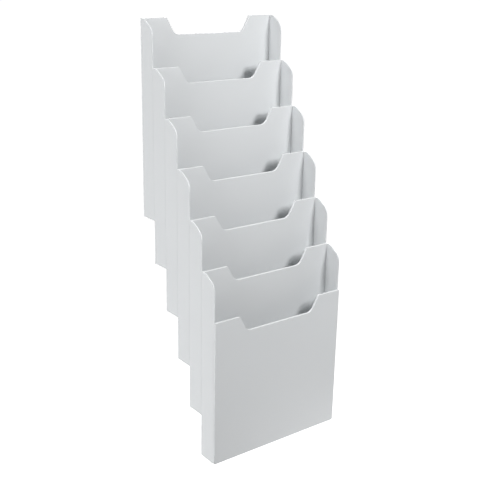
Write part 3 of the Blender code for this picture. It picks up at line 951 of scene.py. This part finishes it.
def zinc_plate(name, groups):
    """Bright zinc over turned steel: clouding, fine grit and rubbed edges."""
    material = bpy.data.materials.new(name)
    material.use_nodes = True
    tree = material.node_tree
    shader = tree.nodes["Principled BSDF"]
    place = add_node(tree, "ShaderNodeTexCoord").outputs["Object"]
    edges = use_group(tree, groups["wear"], {
        "Coordinates": place, "Radius": 0.0003, "Breakup Scale": 900.0, "Amount": 0.7,
    })
    cloud = add_node(tree, "ShaderNodeTexNoise", {"Vector": place, "Scale": 420.0, "Detail": 4.0})
    grit = add_node(tree, "ShaderNodeTexNoise", {"Vector": place, "Scale": 5200.0, "Detail": 2.0})
    colour = blended(tree, cloud.outputs["Fac"], ZINC_DEEP, ZINC_PALE)
    colour = blended(tree, edges.outputs["Mask"], colour, ZINC_RUBBED)
    tree.links.new(colour, shader.inputs["Base Color"])
    polish = add_node(tree, "ShaderNodeMapRange", {
        "Value": cloud.outputs["Fac"], "From Min": 0.3, "From Max": 0.7, "To Min": 0.24, "To Max": 0.40,
    })
    tree.links.new(polish.outputs["Result"], shader.inputs["Roughness"])
    bump = add_node(tree, "ShaderNodeBump", {
        "Strength": 0.25, "Distance": 0.00003, "Height": grit.outputs["Fac"],
        "Normal": edges.outputs["Normal"],
    })
    tree.links.new(bump.outputs["Normal"], shader.inputs["Normal"])
    shader.inputs["Metallic"].default_value = 1.0
    return material


def dress(piece, material, nodes):
    """Give a finished piece its material, hide the CAD nodes that it stands for, and attach it to the body.
    """
    piece.data.materials.clear()
    piece.data.materials.append(material)
    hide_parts(*nodes)
    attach(piece, BODY)


def foot_of(node):
    """The middle of a pocket's bottom back edge."""
    low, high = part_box(node)
    return Vector(((low.x + high.x) / 2, high.y, low.z))


def hang_pockets(material):
    moulding = pocket_moulding()
    for number in range(1, POCKET_COUNT + 1):
        node = f"pocket_{number}"
        mesh = moulding.copy()
        mesh.transform(Matrix.Translation(foot_of(node)))
        dress(piece_from(f"moulded_{node}", mesh), material, [node])
    bpy.data.meshes.remove(moulding)


def close_front(material):
    low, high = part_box("front_panel")
    mesh = front_panel_moulding()
    mesh.transform(Matrix.Translation(((low.x + high.x) / 2, low.y + PANEL_THICKNESS, low.z)))
    dress(piece_from("moulded_front_panel", mesh), material, ["front_panel"])


def seat_of(node, head_height):
    """Where a fastener's head seats, on its axis."""
    low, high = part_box(node)
    middle = (low + high) / 2
    return middle.x, low.y + head_height, middle.z


def fit_rivets(material):
    nodes = [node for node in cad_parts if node.startswith("rivet_")]
    rivets = set_out(snap_rivet(), "snap_rivets", rivet_tree(), {
        "Count": POCKET_COUNT - 1,
        "First Place": seat_of("rivet_1_to_2_lower_left", RIVET_HEAD_HEIGHT),
        "Step": (0.0, -STEP_FORWARD, -STEP_DOWN),
        "Across": (2 * RIVET_X, 0.0, 0.0),
        "Up": (0.0, 0.0, LUG_HEIGHTS[1] - LUG_HEIGHTS[0]),
        "Largest Turn": RIVET_TURN,
        "Seed": RIVET_SEED,
        "Finish": material,
    })
    dress(rivets, material, nodes)


def fit_screws(material):
    nodes = [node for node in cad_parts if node.startswith("wall_screw_")]
    screws = set_out(wall_screw(), "wall_screws", screw_tree(), {
        "Count": 1,
        "First Place": seat_of("wall_screw_lower_left", SCREW_HEAD_HEIGHT),
        "Step": NOWHERE,
        "Across": (2 * SCREW_SPREAD, 0.0, 0.0),
        "Up": (0.0, 0.0, KEYHOLE_HEIGHT - LOWER_HOLE_HEIGHT),
        "Largest Turn": SCREW_TURN,
        "Seed": SCREW_SEED,
        "Finish": material,
        "Thread Start": THREAD_START,
        "Thread Length": SCREW_LENGTH - SCREW_POINT - THREAD_START,
        "Point Length": THREAD_ON_POINT,
        "Pitch": THREAD_PITCH,
        "Core Radius": THREAD_CORE,
        "Ridge": SCREW_RADIUS - THREAD_CORE,
    })
    dress(screws, material, nodes)


def aim_camera():
    camera_data = bpy.data.cameras.new("photograph_camera")
    camera_data.lens = CAMERA_LENS
    camera_data.sensor_width = CAMERA_SENSOR
    camera = bpy.data.objects.new("photograph_camera", camera_data)
    camera.location = CAMERA_PLACE
    camera.rotation_euler = Euler([math.radians(turn) for turn in CAMERA_TURN])
    bpy.context.scene.collection.objects.link(camera)
    bpy.context.scene.camera = camera


def softbox(name, place, width, power):
    """A round lamp that faces the middle of the cascade."""
    lamp = bpy.data.lights.new(name, "AREA")
    lamp.shape = "DISK"
    lamp.size = width
    lamp.energy = power
    item = bpy.data.objects.new(name, lamp)
    item.location = place
    item.rotation_euler = (Vector(place) - Vector(CASCADE_MIDDLE)).to_track_quat("Z", "Y").to_euler()
    bpy.context.scene.collection.objects.link(item)


def seen_directly(tree):
    """1 for what the camera sees straight, mirrored or through glass, and 0 for light on things."""
    path = add_node(tree, "ShaderNodeLightPath")
    mirrored = add_node(tree, "ShaderNodeMath", {
        0: path.outputs["Is Glossy Ray"], 1: path.outputs["Is Transmission Ray"],
    }, operation="MAXIMUM")
    return add_node(tree, "ShaderNodeMath", {
        0: path.outputs["Is Camera Ray"], 1: mirrored.outputs["Value"],
    }, operation="MAXIMUM").outputs["Value"]


def white_world():
    """A world that lights weakly and evenly and is seen as plain white."""
    world = bpy.data.worlds.new("white_studio")
    world.use_nodes = True
    tree = world.node_tree
    tree.nodes.clear()
    light = add_node(tree, "ShaderNodeBackground", {"Color": WHITE, "Strength": WORLD_FILL})
    seen = add_node(tree, "ShaderNodeBackground", {"Color": WHITE, "Strength": 1.0})
    mix = add_node(tree, "ShaderNodeMixShader", {
        0: seen_directly(tree), 1: light.outputs["Background"], 2: seen.outputs["Background"],
    })
    add_node(tree, "ShaderNodeOutputWorld", {"Surface": mix.outputs["Shader"]})
    bpy.context.scene.world = world


def pale_floor():
    """A matt pale floor well below the cascade. It glows for the camera alone, and a little less nearby."""
    material = bpy.data.materials.new("pale_studio_floor")
    material.use_nodes = True
    tree = material.node_tree
    shader = tree.nodes["Principled BSDF"]
    shader.inputs["Base Color"].default_value = FLOOR_COLOUR
    shader.inputs["Roughness"].default_value = 1.0
    shader.inputs["Specular IOR Level"].default_value = 0.0
    shader.inputs["Emission Color"].default_value = WHITE
    place = add_node(tree, "ShaderNodeTexCoord").outputs["Object"]
    reach = add_node(tree, "ShaderNodeVectorMath", {0: place}, operation="LENGTH")
    level = add_node(tree, "ShaderNodeMapRange", {
        "Value": reach.outputs["Value"], "From Min": FLOOR_GLOW_START, "From Max": FLOOR_GLOW_END,
        "To Min": FLOOR_GLOW_NEAR, "To Max": FLOOR_GLOW_FAR,
    })
    glow = add_node(tree, "ShaderNodeMath", {
        0: seen_directly(tree), 1: level.outputs["Result"],
    }, operation="MULTIPLY")
    tree.links.new(glow.outputs["Value"], shader.inputs["Emission Strength"])
    form = bmesh.new()
    bmesh.ops.create_grid(form, x_segments=1, y_segments=1, size=FLOOR_SIZE / 2)
    mesh = bpy.data.meshes.new("studio_floor")
    form.to_mesh(mesh)
    form.free()
    floor = piece_from("studio_floor", mesh)
    floor.location.z = FLOOR_HEIGHT
    floor.data.materials.append(material)


groups = {
    "grain": mould_grain_group(),
    "wear": edge_wear_group(),
    "scuffs": scuffs_group(),
    "dust": settled_dust_group(),
}
moulding_finish = moulded_plastic(
    "satin_grey_moulding", groups, MOULDING_PALE, MOULDING_DEEP, MOULDING_RUBBED,
    roughness=(0.38, 0.48), grain=(2400.0, 0.35), wear=(0.0006, 0.4),
)
rivet_finish = moulded_plastic(
    "satin_rivet_moulding", groups, RIVET_PALE, RIVET_DEEP, RIVET_RUBBED,
    roughness=(0.36, 0.44), grain=(3600.0, 0.25), wear=(0.0003, 0.6),
)
screw_finish = zinc_plate("bright_zinc_plate", groups)

hang_pockets(moulding_finish)
close_front(moulding_finish)
fit_rivets(rivet_finish)
fit_screws(screw_finish)

aim_camera()
white_world()
pale_floor()
for name, (place, width, power) in SOFTBOXES.items():
    softbox(name, place, width, power)

bpy.context.scene.view_settings.view_transform = "Standard"
